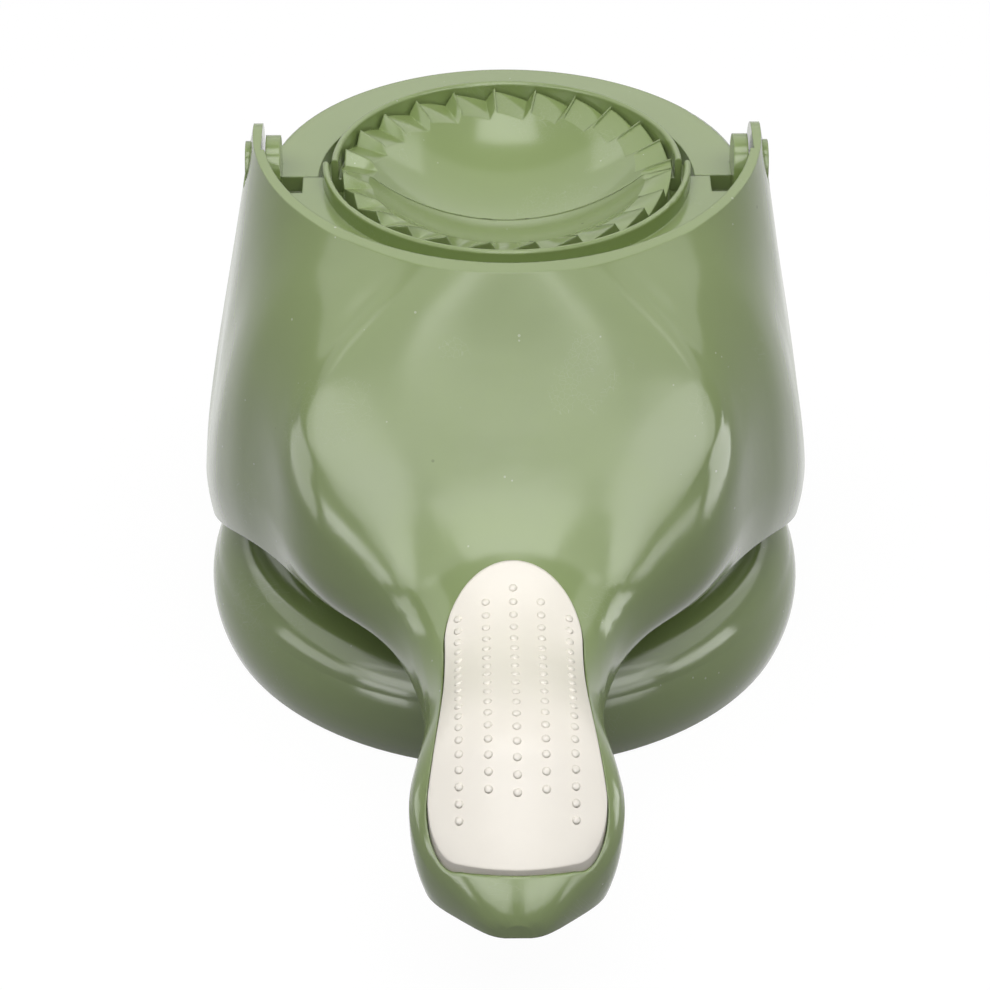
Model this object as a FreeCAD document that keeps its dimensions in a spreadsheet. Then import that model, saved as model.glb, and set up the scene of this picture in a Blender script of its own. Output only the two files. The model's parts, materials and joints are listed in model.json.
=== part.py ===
import FreeCAD, Part
import math
import os
import re
import Sketcher

# A hand-operated dumpling maker: a round foot with a column and a rear half mould, and a
# hinged lever with the front half mould. Millimetres. Z is up, the handle points to -Y, and
# the origin lies on the table under the middle of the mould.

# Driving dimensions
SIZES = {
    # Foot and column
    "rim_top_radius": 63.0,
    "rim_bulge": 1.4,
    "shoulder_width": 10.4,
    "cove_width": 2.0,
    "column_taper": 1.2,
    "rim_lift": 0.8,
    "rim_bulge_rise": 5.5,
    "rim_shoulder_rise": 9.3,
    "brim_rise": 8.4,
    "cove_rise": 7.0,
    "deck_height": 106.0,
    "deck_thickness": 3.5,
    "deck_width": 10.6,
    "deck_edge_round": 1.2,
    "base_wall": 2.8,
    "well_room": 5.5,
    "bulkhead_wall": 2.5,
    "split_gap": 0.4,
    "swing_gap": 0.6,
    # Hinge lugs on the column and ears on the lever
    "lug_radius": 6.0,
    "lug_thickness": 3.0,
    "lug_skin": 0.8,
    "ear_margin": 2.4,
    "pin_radius": 2.5,
    "pin_deck_gap": 0.5,
    "pin_clearance": 0.05,
    "pin_end_gap": 0.3,
    "cap_lip": 2.3,
    "cap_sink": 1.5,
    "cap_proud": 0.15,
    # Mould halves
    "mouth_drop": 2.05,
    "bowl_depth": 11.25,
    "mould_wall": 2.2,
    "flute_count": 12,
    "flute_length": 5.0,
    "flute_phase": 3.5,
    "flute_steep": 3.2,
    "flute_depth": 2.8,
    "flute_valley_rise": 0.12,
    "flute_overrun": 1.0,
    "flute_inner_reach": 5.0,
    "flute_lift": 0.9,
    "ridge_land": 0.25,
    "ridge_drop": 0.2,
    "channel_width": 0.7,
    "channel_depth": 0.6,
    "ring_thickness": 1.4,
    "ring_clearance": 0.4,
    "rear_ring_height": 3.9,
    "front_ring_height": 3.7,
    "moat_gap": 0.9,
    "flange_gap": 0.4,
    "flange_thickness": 2.2,
    # Lever hood
    "collar_wall": 2.4,
    "collar_rise": 6.0,
    "collar_tilt": 3.7,
    "edge_drop": 1.0,
    "edge_overcut": 5.0,
    "lever_wall": 3.0,
    "hem_round": 8.0,
    "notch_gap": 0.8,
    "notch_room": 4.4,
    "hood_first_turn": -13.1,
    "hood_turn_step": 9.45,
    # Grip pad and handle
    "grip_lead": 0.2,
    "grip_heel": 4.4,
    "grip_top_margin": 4.6,
    "grip_end_margin": 3.5,
    "grip_end_round": 11.5,
    "grip_waist": 0.2,
    "grip_sink": 1.6,
    "grip_proud": 0.7,
    "grip_gap": 0.25,
    "grip_rise": 7.0,
    "grip_peg_radius": 1.9,
    "grip_peg_length": 6.0,
    "grip_screw_lead": 3.0,
    "cover_lead": 6.0,
    "cover_thickness": 2.2,
    "cover_inset": 2.0,
    "cover_gap": 0.2,
    "cover_screw_lead": 12.0,
    # Floor, feet and fasteners
    "floor_thickness": 3.0,
    "floor_stud_radius": 8.0,
    "floor_screw_inset": 6.2,
    "seat_gap": 0.2,
    "foot_inset": 10.2,
    "foot_radius": 7.0,
    "foot_thickness": 1.8,
    "foot_bevel": 0.5,
    "boss_radius": 3.6,
    "screw_radius": 1.25,
    "screw_length": 8.0,
    "screw_head_radius": 2.6,
    "screw_head_height": 1.6,
    "screw_clearance": 0.15,
    "screw_tip_cover": 1.0,
    "screw_tip_gap": 0.4,
    "pilot_gap": 0.03,
}

# Cross-sections of the lever through the hood, evenly turned round the collar from back to
# front: flare beyond the collar, crown above the collar, widest place above the lever's lowest
# edge, how far the edge there tucks in, how far it is lifted, and how far up the flank bulges
HOOD_SECTIONS = {
    "hood_back": (12.9, 47.0, 6.5, 0.8, 0.0, 0.1),
    "hood_ear": (12.7, 47.0, 6.5, 0.8, 0.0, 0.1),
    "hood_side": (12.47, 47.0, 7.5, 1.0, 0.0, 0.1),
    "hood_flank": (13.2, 45.0, 12.0, 1.0, 2.0, 0.18),
    "hood_quarter": (14.9, 42.0, 16.0, 1.3, 5.5, 0.29),
    "hood_corner": (17.4, 38.6, 20.5, 1.6, 9.0, 0.44),
    "hood_shoulder": (20.4, 31.0, 24.5, 1.8, 12.0, 0.58),
    "hood_turn": (24.2, 21.8, 27.5, 2.2, 14.0, 0.67),
    "hood_brow": (28.8, 13.2, 29.5, 2.4, 15.0, 0.73),
}
# Cross-sections through the forehead and the handle: step forwards from the one before,
# half-width, crown above the lowest edge (and the share of the hood's height added to it), widest
# place above that edge, tuck, lift of the edge, and how full the section's shoulders are
HANDLE_SECTIONS = {
    "forehead": (5.6, 46.8, -10.8, 1.0, 30.0, 3.3, 16.0, 2.9),
    "slope": (12.0, 39.0, 9.3, 0.5, 27.0, 4.3, 16.0, 3.0),
    "root": (12.0, 23.3, 35.5, 0.0, 18.5, 1.6, 11.5, 2.6),
    "neck": (15.0, 17.8, 29.2, 0.0, 15.0, 2.2, 2.0, 2.25),
    "palm": (20.0, 17.7, 30.3, 0.0, 16.0, 2.4, 0.0, 2.35),
    "swell": (16.0, 19.9, 26.0, 0.0, 14.0, 2.4, 0.0, 2.1),
    "tail": (6.5, 17.6, 19.6, 0.0, 9.0, 1.6, 0.0, 2.05),
    "nose": (6.0, 11.1, 12.4, 0.0, 4.5, 0.8, 0.0, 2.1),
    "tip": (3.4, 6.6, 6.8, 0.0, 2.2, 0.4, 0.0, 2.2),
    "end": (1.5, 2.6, 3.0, 0.0, 1.0, 0.15, 0.0, 2.2),
}

# Places and sizes that follow from the driving dimensions
PLACES = {
    # Radii, from the rim inwards
    "rim_bulge_radius": "rim_top_radius + rim_bulge",
    "rim_inside": "rim_top_radius - base_wall",
    "brim_radius": "rim_top_radius - shoulder_width",
    "column_foot_radius": "brim_radius - cove_width",
    "column_radius": "column_foot_radius - column_taper",
    "column_inside": "column_radius - base_wall",
    "moat_radius": "column_radius - deck_width",
    "front_ring_outside": "moat_radius - moat_gap",
    "front_ring_inside": "front_ring_outside - ring_thickness",
    "rear_ring_outside": "front_ring_inside - ring_clearance",
    "rear_ring_inside": "rear_ring_outside - ring_thickness",
    "flute_outer_radius": "rear_ring_inside - channel_width",
    "bowl_mouth_radius": "flute_outer_radius - flute_length",
    "bowl_radius": "(bowl_mouth_radius^2 + bowl_depth^2) / (2 * bowl_depth)",
    "collar_radius": "column_radius + swing_gap",
    "collar_outside": "collar_radius + collar_wall",
    "lug_inside": "column_radius - lug_thickness",
    "notch_inside": "lug_inside - notch_room",
    "notch_reach": "lug_radius + notch_gap",
    "flange_radius": "lug_inside - flange_gap",
    "mould_screw_circle": "(moat_radius + flange_radius) / 2",
    "floor_screw_circle": "rim_inside - floor_screw_inset",
    "foot_circle": "rim_inside - foot_inset",
    "ear_radius": "lug_radius + ear_margin",
    "cap_radius": "pin_radius + cap_lip",
    "pilot": "screw_radius + pilot_gap",
    "screw_hole": "screw_radius + screw_clearance",
    "head_room": "screw_head_radius + screw_clearance",
    # Heights, from the table up
    "floor_top": "rim_lift + floor_thickness",
    "rim_bulge_height": "rim_lift + rim_bulge_rise",
    "rim_top_height": "rim_bulge_height + rim_shoulder_rise",
    "brim_height": "rim_top_height + brim_rise",
    "column_foot_height": "brim_height + cove_rise",
    "lever_edge_height": "column_foot_height - edge_drop",
    "cover_underside": "lever_edge_height + cover_inset",
    "cover_top": "cover_underside + cover_thickness",
    "grip_lowest": "lever_edge_height + grip_rise",
    "grip_boss_end": "neck_crown - grip_peg_length - lever_wall",
    "deck_underside": "deck_height - deck_thickness",
    "flange_underside": "deck_underside - flange_thickness",
    "hinge_height": "deck_height + pin_radius + pin_deck_gap",
    "collar_height": "hinge_height + collar_rise",
    "mouth_height": "hinge_height - mouth_drop",
    "bowl_bottom": "mouth_height - bowl_depth",
    "bowl_centre": "bowl_bottom + bowl_radius",
    "well_height": "bowl_bottom - mould_wall - well_room",
    "mould_screw_length": "flange_thickness + deck_thickness - screw_tip_cover - screw_tip_gap",
    # Ears and hinge caps
    "ear_share": "collar_rise / (collar_height - hood_side_widest)",
    "ear_climb": "(sqrt(hood_side_bulge^2 + (1 - 2 * hood_side_bulge) * (1 - ear_share))"
                 " - hood_side_bulge) / (1 - 2 * hood_side_bulge)",
    "ear_face": "collar_outside + hood_side_flare * (1 - ear_climb^2)",
    "cap_seat": "ear_face - cap_sink",
    # Grip pad and handle cover
    "grip_top": "root_reach - grip_lead",
    "grip_end": "end_reach - grip_heel",
    "grip_top_half": "neck_half - grip_top_margin",
    "grip_end_half": "swell_half - grip_end_margin",
    "cover_start": "neck_reach + cover_lead",
}
for count, (station, row) in enumerate(HOOD_SECTIONS.items()):
    for size_name, size in zip(("flare", "rise", "belly", "tuck", "lift", "bulge"), row):
        SIZES[f"{station}_{size_name}"] = size
    PLACES[f"{station}_turn"] = f"hood_first_turn + {count} * hood_turn_step"
    PLACES[f"{station}_reach"] = f"collar_outside * sin({station}_turn)"
    PLACES[f"{station}_collar"] = f"collar_outside * cos({station}_turn)"
    PLACES[f"{station}_half"] = f"{station}_collar + {station}_flare"
    PLACES[f"{station}_crown"] = f"collar_height + {station}_rise"
    PLACES[f"{station}_widest"] = f"lever_edge_height + {station}_belly"
HANDLE_SIZES = ("step", "half", "rise", "follow", "belly", "tuck", "lift", "fullness")
before = "collar_outside"
for station, row in HANDLE_SECTIONS.items():
    for size_name, size in zip(HANDLE_SIZES, row):
        SIZES[f"{station}_{size_name}"] = size
    PLACES[f"{station}_reach"] = f"{before} + {station}_step"
    PLACES[f"{station}_crown"] = (f"lever_edge_height + {station}_rise"
                                  f" + {station}_follow * (collar_height - lever_edge_height)")
    PLACES[f"{station}_widest"] = f"lever_edge_height + {station}_belly"
    before = f"{station}_reach"

doc = FreeCAD.newDocument("DumplingMaker")
sheet = doc.addObject("Spreadsheet::Sheet", "Sizes")
for line, (alias, size) in enumerate(SIZES.items(), start=1):
    sheet.set(f"A{line}", alias)
    sheet.set(f"B{line}", str(size))
    sheet.setAlias(f"B{line}", alias)
doc.recompute()


def bind(text):
    """Point every size name in an expression at the sheet, and write out the places."""
    def cell(found):
        word = found.group()
        if word in PLACES:
            return f"({bind(PLACES[word])})"
        return "Sizes." + word if word in SIZES else word
    return re.sub(r"[a-z]\w*", cell, str(text))


def number(text):
    """The present value of an expression in size names."""
    return float(sheet.evalExpression(bind(text)))


def vector(across, up):
    return FreeCAD.Vector(across, up, 0)


def origin_plane(body, role):
    return [feature for feature in body.Origin.OriginFeatures if feature.Role == role][0]


def new_sketch(body, name, role, offset="0"):
    """A sketch on one of the body's origin planes, moved along the plane's normal."""
    sketch = body.newObject("Sketcher::SketchObject", name)
    sketch.AttachmentSupport = [(origin_plane(body, role), "")]
    sketch.MapMode = "FlatFace"
    sketch.setExpression("AttachmentOffset.Base.z", bind(offset))
    return sketch


def pin_down(sketch, geometry, point, across, up):
    """Tie one point of a sketch to its two coordinates."""
    for kind, text in (("DistanceX", across), ("DistanceY", up)):
        tie = Sketcher.Constraint(kind, -1, 1, geometry, point, number(text))
        sketch.setExpression(f"Constraints[{sketch.addConstraint(tie)}]", bind(text))


def outline(sketch, steps):
    """A closed outline. A step is its end point, and for an arc also a point on the way."""
    START, END = 1, 2
    corners = [vector(number(step[0]), number(step[1])) for step in steps]
    ends = []
    for place, step in enumerate(steps):
        begin, finish = corners[place - 1], corners[place]
        if len(step) == 2:
            geometry = sketch.addGeometry(Part.LineSegment(begin, finish))
        else:
            way = vector(number(step[2]), number(step[3]))
            geometry = sketch.addGeometry(Part.Arc(begin, way, finish))
            mark = sketch.addGeometry(Part.Point(way), True)
            pin_down(sketch, mark, START, step[2], step[3])
            sketch.addConstraint(Sketcher.Constraint("PointOnObject", mark, START, geometry))
        turned = (sketch.getPoint(geometry, START) - begin).Length > 1e-6
        ends.append((geometry, END, START) if turned else (geometry, START, END))
    for place, step in enumerate(steps):
        geometry, first, last = ends[place]
        after, after_first, _ = ends[(place + 1) % len(steps)]
        sketch.addConstraint(Sketcher.Constraint("Coincident", geometry, last, after, after_first))
        pin_down(sketch, geometry, last, step[0], step[1])


def new_body(name):
    body = doc.addObject("PartDesign::Body", name)
    body.Label = name
    return body


def turned(name, steps):
    """A body turned about Z from an outline in radius and height."""
    body = new_body(name)
    sketch = new_sketch(body, name + "_profile", "XZ_Plane")
    outline(sketch, steps)
    turn = body.newObject("PartDesign::Revolution", name + "_turn")
    turn.Profile = sketch
    turn.ReferenceAxis = (sketch, ["V_Axis"])
    return body


def extruded(name, role, steps, low, high):
    """A body pushed out from one of its planes, between two distances along the normal."""
    body = new_body(name)
    sketch = new_sketch(body, name + "_outline", role, low)
    outline(sketch, steps)
    push = body.newObject("PartDesign::Pad", name + "_pad")
    push.Profile = sketch
    push.setExpression("Length", bind(f"({high}) - ({low})"))
    return body


def box(name, low, high):
    """A block between two corners, each given as three expressions."""
    block = doc.addObject("Part::Box", name)
    for side, axis, a, b in zip(("Length", "Width", "Height"), "xyz", low, high):
        block.setExpression(side, bind(f"({b}) - ({a})"))
        block.setExpression(f"Placement.Base.{axis}", bind(a))
    return block


def rod(name, radius, low, high, centre=("0", "0"), along="Z"):
    """A cylinder along Z or X, between two places on that axis."""
    cylinder = doc.addObject("Part::Cylinder", name)
    cylinder.setExpression("Radius", bind(radius))
    cylinder.setExpression("Height", bind(f"({high}) - ({low})"))
    if along == "X":
        cylinder.Placement.Rotation = FreeCAD.Rotation(FreeCAD.Vector(0, 1, 0), 90)
        places = {"x": low, "y": centre[0], "z": centre[1]}
    else:
        places = {"x": centre[0], "y": centre[1], "z": low}
    for axis, text in places.items():
        cylinder.setExpression(f"Placement.Base.{axis}", bind(text))
    return cylinder


def join(name, pieces):
    fused = doc.addObject("Part::MultiFuse", name)
    fused.Shapes = pieces
    fused.Refine = True
    return fused


def cut(name, base, tools):
    """The base less all the tools."""
    tool = tools[0] if len(tools) == 1 else join(name + "_tools", tools)
    less = doc.addObject("Part::Cut", name)
    less.Base = base
    less.Tool = tool
    less.Refine = True
    return less


def overlap(name, pieces):
    shared = doc.addObject("Part::MultiCommon", name)
    shared.Shapes = pieces
    return shared


def around(radius, angle):
    """The plan point at a radius and an angle in degrees, as two expressions."""
    return (f"({radius}) * cos({angle})", f"({radius}) * sin({angle})")


FRONT_FACE = "-split_gap / 2"
REAR_FACE = "split_gap / 2"
FAR = "200"
HINGE = ("0", "hinge_height")
FLOOR_SCREW_PLACES = [around("floor_screw_circle", angle) for angle in (0, 90, 180, 270)]
FOOT_ANGLES = {"foot_rear_right": 45, "foot_rear_left": 135,
               "foot_front_left": 225, "foot_front_right": 315}
REAR_SCREW_PLACES = [around("mould_screw_circle", angle) for angle in (30, 90, 150)]
FRONT_SCREW_PLACES = [around("mould_screw_circle", angle) for angle in (210, 270, 330)]
GRIP_SCREW_PLACES = [("0", "-neck_reach"), ("0", "grip_screw_lead - swell_reach")]
COVER_SCREW_PLACES = [("0", "-neck_reach - cover_screw_lead"), ("0", "-tail_reach")]
CROWN_INSET = 0.5
CROWN_WEIGHT = 0.75


def rods(name, radius, low, high, places):
    return [rod(f"{name}_{count}", radius, low, high, place)
            for count, place in enumerate(places)]


def on_both_sides(name, radius, low, high):
    """Two rods on the hinge axis, given by their distances from the middle."""
    return [rod(name + "_left", radius, f"-({high})", f"-({low})", HINGE, "X"),
            rod(name + "_right", radius, low, high, HINGE, "X")]


def screws(name, places, seat, length="screw_length"):
    """A group of pan-head screws driven upwards, with the tops of their heads on the seat."""
    pieces = []
    for count, place in enumerate(places):
        head = rod(f"{name}_head_{count}", "screw_head_radius",
                   f"{seat} - screw_head_height", seat, place)
        shank = rod(f"{name}_shank_{count}", "screw_radius", seat, f"{seat} + {length}", place)
        pieces.append(join(f"{name}_{count}", [head, shank]))
    group = doc.addObject("Part::Compound", name)
    group.Links = pieces
    return group


def round_ring(name, inside, outside, low, top):
    """A standing ring whose upper edge is fully round."""
    return turned(name, [
        (inside, low),
        (outside, low),
        (outside, f"{top} - ring_thickness / 2"),
        (inside, f"{top} - ring_thickness / 2", f"({inside} + {outside}) / 2", top),
    ])


def make_base_shell():
    """The foot, the column, the rear deck and the two hinge lugs."""
    bell = turned("bell", [
        ("rim_top_radius", "rim_lift"),
        ("rim_top_radius", "rim_top_height", "rim_bulge_radius", "rim_bulge_height"),
        ("brim_radius", "brim_height",
         "rim_top_radius - 0.36 * shoulder_width", "rim_top_height + 0.72 * brim_rise"),
        ("column_foot_radius", "column_foot_height",
         "column_foot_radius + 0.4 * cove_width", "brim_height + 0.28 * cove_rise"),
        ("column_radius", "deck_height - deck_edge_round"),
        ("column_radius - deck_edge_round", "deck_height",
         "column_radius - 0.293 * deck_edge_round", "deck_height - 0.293 * deck_edge_round"),
        ("moat_radius", "deck_height"),
        ("moat_radius", "deck_underside"),
        ("column_inside", "deck_underside"),
        ("column_foot_radius - base_wall", "column_foot_height"),
        ("column_foot_radius - base_wall", "brim_height - base_wall"),
        ("brim_radius", "brim_height - base_wall"),
        ("rim_inside", "rim_top_height",
         "rim_top_radius - 0.36 * shoulder_width - 0.65 * base_wall",
         "rim_top_height + 0.72 * brim_rise - 0.76 * base_wall"),
        ("rim_inside", "rim_lift"),
    ])
    opening = box("front_opening", (f"-{FAR}", f"-{FAR}", "well_height"), (FAR, REAR_FACE, FAR))
    open_bell = cut("open_bell", bell, [opening])
    core = rod("column_core", "column_inside + base_wall / 2", "well_height - base_wall",
               "deck_underside")
    step = box("well_step", (f"-{FAR}", f"-{FAR}", "well_height - base_wall"),
               (FAR, f"{REAR_FACE} + bulkhead_wall", "well_height"))
    wall = box("bulkhead", (f"-{FAR}", REAR_FACE, "well_height - base_wall"),
               (FAR, f"{REAR_FACE} + bulkhead_wall", "deck_underside"))
    pieces = [open_bell, overlap("well_walls", [core, join("well_blocks", [step, wall])])]
    pieces += on_both_sides("lug_eye", "lug_radius", "lug_inside", "column_radius")
    for side, low, high in (("left", "-(column_radius)", "-(lug_inside)"),
                            ("right", "lug_inside", "column_radius")):
        pieces.append(box(f"lug_stem_{side}", (low, "-lug_radius", "well_height - base_wall"),
                          (high, "lug_radius", "hinge_height")))
    pieces += rods("floor_boss", "boss_radius", "floor_top", "brim_height - base_wall",
                   FLOOR_SCREW_PLACES)
    bowl_room = doc.addObject("Part::Sphere", "bowl_room")
    bowl_room.setExpression("Radius", bind("bowl_radius + mould_wall + seat_gap"))
    bowl_room.setExpression("Placement.Base.z", bind("bowl_centre"))
    tools = [
        bowl_room,
        rod("flange_room", "flange_radius + seat_gap", "flange_underside - seat_gap",
            "deck_underside"),
        *on_both_sides("lug_bore", "pin_radius + pin_clearance", "lug_inside + lug_skin", FAR),
    ]
    tools += rods("floor_pilot", "pilot", "floor_top", "floor_top + screw_length", FLOOR_SCREW_PLACES)
    tools += rods("rear_pilot", "pilot", "flange_underside", "deck_height - screw_tip_cover",
                  REAR_SCREW_PLACES)
    return cut("base_shell", join("base_solid", pieces), tools)


def make_base_floor():
    """The round cover under the foot, with a stud and pads to stand on and sunk screw seats."""
    disc = rod("floor_disc", "rim_inside - seat_gap", "rim_lift", "floor_top")
    stud = rod("floor_stud", "floor_stud_radius", "0", "floor_top")
    foot_places = [around("foot_circle", angle) for angle in FOOT_ANGLES.values()]
    tools = rods("foot_seat", "foot_radius + seat_gap", "0", "foot_thickness", foot_places)
    tools += rods("floor_hole", "screw_hole", "0", "floor_top", FLOOR_SCREW_PLACES)
    tools += rods("floor_head_room", "head_room", "0", "rim_lift + screw_head_height",
                  FLOOR_SCREW_PLACES)
    return cut("base_floor", join("floor_blank", [disc, stud]), tools)


def make_foot(name, angle):
    """A non-slip pad with a bevelled lower edge."""
    pad = turned(name, [
        ("0", "0"),
        ("foot_radius - foot_bevel", "0"),
        ("foot_radius", "foot_bevel"),
        ("foot_radius", "foot_thickness"),
        ("0", "foot_thickness"),
    ])
    for axis, text in zip("xy", around("foot_circle", angle)):
        pad.setExpression(f"Placement.Base.{axis}", bind(text))
    return pad


def fluted_bowl(name, ridge_end, phase, rim):
    """A whole mould: a bowl whose sloping brim carries saw-tooth flutes.

    The bowl is turned, one flute is cut as a wedge that narrows towards the bowl, and the cut is
    repeated round the axis.
    """
    under_radius = "sqrt((bowl_radius + mould_wall)^2 - (bowl_centre - flange_underside)^2)"
    bowl = turned(name + "_bowl", [
        ("0", "bowl_bottom"),
        ("bowl_mouth_radius", "mouth_height", "bowl_mouth_radius / 2",
         "bowl_centre - sqrt(bowl_radius^2 - (bowl_mouth_radius / 2)^2)"),
        ("flute_outer_radius", ridge_end),
        *rim,
        ("flange_radius", "deck_underside"),
        ("flange_radius", "flange_underside"),
        (under_radius, "flange_underside"),
        ("0", "bowl_bottom - mould_wall", f"({under_radius}) / 2",
         f"bowl_centre - sqrt((bowl_radius + mould_wall)^2 - ({under_radius})^2 / 4)"),
    ])
    pitch = "180 / flute_count"
    ridge_slope = f"(({ridge_end}) - mouth_height) / flute_length"
    sketches = []
    for end, radius in (("outer", "flute_outer_radius + flute_overrun"),
                        ("inner", "bowl_mouth_radius - flute_inner_reach")):
        out = f"(({radius}) - flute_outer_radius)"
        ridge = f"({ridge_end}) + {out} * ({ridge_slope})"
        valley = f"({ridge_end}) - flute_depth + {out} * flute_valley_rise"
        first = f"({radius}) * tan({phase} + ridge_land)"
        deepest = f"({radius}) * tan({phase} + flute_steep)"
        last = f"({radius}) * tan({phase} + {pitch} - ridge_land)"
        sketch = new_sketch(bowl, f"{name}_flute_{end}", "YZ_Plane", radius)
        outline(sketch, [
            (first, ridge),
            (deepest, valley),
            (last, ridge),
            (last, "hinge_height + flute_depth"),
            (first, "hinge_height + flute_depth"),
        ])
        sketches.append(sketch)
    flute = bowl.newObject("PartDesign::SubtractiveLoft", name + "_flute")
    flute.Profile = sketches[0]
    flute.Sections = sketches[1:]
    flute.Ruled = True
    flutes = bowl.newObject("PartDesign::PolarPattern", name + "_flutes")
    flutes.Originals = [flute]
    flutes.Axis = (bowl.Origin.OriginFeatures[2], [""])
    flutes.Angle = 360
    flutes.setExpression("Occurrences", bind("2 * flute_count"))
    bowl.Tip = flutes
    return bowl


def make_rear_mould():
    """The half bowl on the column, with the low ring that the lever's cutter goes round."""
    ridge_end = "hinge_height - ridge_drop"
    channel = f"{ridge_end} - flute_depth - channel_depth"
    rim = [
        ("flute_outer_radius", channel),
        ("rear_ring_inside", channel),
        ("rear_ring_inside", "deck_underside"),
    ]
    bowl = fluted_bowl("rear_mould", ridge_end, "flute_phase", rim)
    ring = round_ring("rear_ring", "rear_ring_inside", "rear_ring_outside", "deck_underside",
                      "deck_height + rear_ring_height")
    side = box("rear_mould_side", (f"-{FAR}", REAR_FACE, "0"), (FAR, FAR, FAR))
    half = overlap("rear_mould_half", [join("ringed_bowl", [bowl, ring]), side])
    return cut("rear_mould", half,
               rods("rear_mould_hole", "screw_hole", "0", "deck_underside", REAR_SCREW_PLACES))


def notches(name):
    """Room in the lever for the column's two hinge lugs."""
    return [
        box(f"{name}_left", ("-(collar_radius)", "-(notch_reach)", "0"), ("-(notch_inside)", FAR, FAR)),
        box(f"{name}_right", ("notch_inside", "-(notch_reach)", "0"), ("collar_radius", FAR, FAR)),
    ]


def make_front_mould():
    """The half bowl in the lever: its ridges fall into the rear half's valleys when closed."""
    bowl = fluted_bowl("front_mould", "hinge_height - ridge_drop + flute_lift",
                       "-(flute_phase + flute_steep)", [("flute_outer_radius", "deck_underside")])
    side = box("front_mould_side", (f"-{FAR}", f"-{FAR}", "0"), (FAR, FRONT_FACE, FAR))
    holes = rods("front_mould_hole", "screw_hole", "0", "deck_underside", FRONT_SCREW_PLACES)
    return cut("front_mould", overlap("front_mould_half", [bowl, side]),
               holes + notches("front_mould_notch"))


def arc_points(centre, radius, first, last, count):
    """Points along an arc across the lever, without its last one; angles in radians."""
    angles = [first + (last - first) * step / count for step in range(count)]
    return [FreeCAD.Vector(centre[0] + radius * math.cos(angle), 0,
                           centre[1] + radius * math.sin(angle)) for angle in angles]


def hood_flank(half, widest, collar, crown, bulge):
    """A bulging flank from the widest place up to the collar's edge, then the crown."""
    climb = number("collar_height") - widest
    foot, knee = FreeCAD.Vector(half, 0, widest), FreeCAD.Vector(half, 0, widest + bulge * climb)
    rim, top = FreeCAD.Vector(collar, 0, widest + climb), FreeCAD.Vector(0, 0, crown)
    ahead = min((top - rim).z / (rim - knee).z, CROWN_INSET * collar / (half - collar))
    corner = rim + (rim - knee) * ahead
    points = []
    for start, way, finish, weight, count in ((foot, knee, rim, 1.0, 5),
                                              (rim, corner, top, CROWN_WEIGHT, 6)):
        for step in range(count):
            along = step / count
            shares = ((1 - along) ** 2, 2 * weight * along * (1 - along), along ** 2)
            points.append((start * shares[0] + way * shares[1] + finish * shares[2]) * (1 / sum(shares)))
    return points


def handle_flank(half, widest, crown, fullness):
    """A rounded arch from the widest place to the crown, squarer where it is fuller."""
    steps = [math.pi / 2 * step / 11 for step in range(11)]
    return [FreeCAD.Vector(half * math.cos(step) ** (2 / fullness), 0,
                           widest + (crown - widest) * math.sin(step) ** (2 / fullness))
            for step in steps]


def section_points(station, grow, below):
    """Points on one cross-section of the lever, from edge to edge, moved outwards by grow.

    The edges are drawn down by below, so that a cutting form goes through.
    """
    reach, half, crown, widest, tuck, lift = (
        number(f"{station}_{size}") for size in ("reach", "half", "crown", "widest", "tuck", "lift"))
    drop = widest - number("lever_edge_height") - lift
    lower = (tuck ** 2 + drop ** 2) / (2 * tuck)
    half, crown = half + grow, crown + grow
    side = arc_points((half - lower, widest), lower, -math.asin(drop / lower), 0, 4)
    side[0] -= FreeCAD.Vector(0, 0, below)
    if station in HOOD_SECTIONS:
        side += hood_flank(half, widest, number(f"{station}_collar") + grow, crown,
                           number(f"{station}_bulge"))
    else:
        side += handle_flank(half, widest, crown, number(f"{station}_fullness"))
    mirrored = [FreeCAD.Vector(-point.x, 0, point.z) for point in reversed(side)]
    top = FreeCAD.Vector(0, 0, crown)
    return [point - FreeCAD.Vector(0, reach, 0) for point in side + [top] + mirrored]


def lever_form(name, stations, grow, below):
    """A smooth solid through cross-sections of the lever, all with the same spacing of points."""
    rows = [section_points(station, grow, below) for station in stations]
    spacing = [0.0] * (len(rows[0]) - 1)
    for row in rows:
        chords = [(second - first).Length for first, second in zip(row, row[1:])]
        spacing = [total + chord / sum(chords) for total, chord in zip(spacing, chords)]
    places = [sum(spacing[:count]) for count in range(len(rows[0]))]
    wires = []
    for row in rows:
        arch = Part.BSplineCurve()
        arch.interpolate(Points=row, Parameters=places)
        wires.append(Part.Wire([arch.toShape(), Part.makeLine(row[-1], row[0])]))
    form = doc.addObject("Part::Feature", name)
    form.Shape = Part.makeLoft(wires, True)
    return form


def grip_outline(grow):
    """The grip pad's plan: a round top, sides that widen forwards and a blunt end."""
    top, half = f"(grip_top - {grow})", f"(grip_top_half + {grow})"
    end, wide = f"(grip_end + {grow})", f"(grip_end_half + {grow})"
    right = [
        (half, f"-({top} + {half})", f"0.707 * {half}", f"-({top} + 0.293 * {half})"),
        (wide, f"grip_end_round - {end}", f"{half} + grip_waist * ({wide} - {half})",
         f"-({top} + {half} + {end} - grip_end_round) / 2"),
        (f"0.63 * {wide}", f"0.18 * grip_end_round - {end}",
         f"0.91 * {wide}", f"0.48 * grip_end_round - {end}"),
    ]
    bottom = (f"-0.63 * {wide}", f"0.18 * grip_end_round - {end}", "0", f"-{end}")
    left = [
        (f"-{wide}", f"grip_end_round - {end}", f"-0.91 * {wide}", f"0.48 * grip_end_round - {end}"),
        (f"-{half}", f"-({top} + {half})", f"-({half} + grip_waist * ({wide} - {half}))",
         f"-({top} + {half} + {end} - grip_end_round) / 2"),
        ("0", f"-{top}", f"-0.707 * {half}", f"-({top} + 0.293 * {half})"),
    ]
    return right + [bottom] + left


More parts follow.
